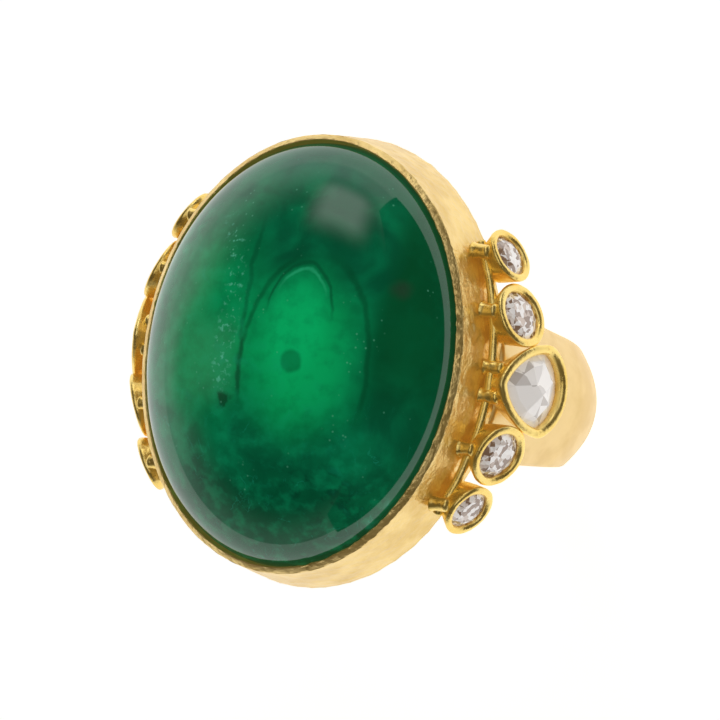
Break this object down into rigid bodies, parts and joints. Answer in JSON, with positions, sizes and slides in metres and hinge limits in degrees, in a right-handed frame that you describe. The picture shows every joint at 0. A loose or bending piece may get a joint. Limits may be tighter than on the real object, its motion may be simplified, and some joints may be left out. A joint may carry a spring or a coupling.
{
  "type": "cocktail ring",
  "caption": "Yellow gold finger ring with a large oval green cabochon in a hammered bezel, flanked on each shoulder by a pear and round stones in separate collets.",
  "frame": {"origin": "centre of the finger hole, half way across the band", "axes": "+Y along the finger (the hole's axis), +Z from the finger out through the middle of the big stone, +X to the wearer-side right"},
  "size_m": [0.025, 0.024, 0.0286],
  "materials": {
    "emerald": "polished green cabochon gemstone, translucent with inclusions",
    "diamond": "faceted clear gemstone",
    "gold_hammered": "hand-hammered yellow gold, polished high spots",
    "gold_satin": "satin yellow gold",
    "gold_polished": "burnished yellow gold"
  },
  "bodies": {
    "root": {"emerald": "emerald", "main_bezel": "gold_hammered", "stone_seat": "gold_satin", "back_plate": "gold_satin", "shank": "gold_satin", "right_gallery_wire": "gold_polished", "right_pear_collet": "gold_polished", "right_pear_diamond": "diamond", "right_upper_medium_collet": "gold_polished", "right_upper_medium_diamond": "diamond", "right_upper_small_collet": "gold_polished", "right_upper_small_diamond": "diamond", "right_lower_medium_collet": "gold_polished", "right_lower_medium_diamond": "diamond", "right_lower_small_collet": "gold_polished", "right_lower_small_diamond": "diamond", "left_gallery_wire": "gold_polished", "left_pear_collet": "gold_polished", "left_pear_diamond": "diamond", "left_upper_medium_collet": "gold_polished", "left_upper_medium_diamond": "diamond", "left_upper_small_collet": "gold_polished", "left_upper_small_diamond": "diamond", "left_lower_medium_collet": "gold_polished", "left_lower_medium_diamond": "diamond", "left_lower_small_collet": "gold_polished", "left_lower_small_diamond": "diamond"}
  },
  "joints": []
}
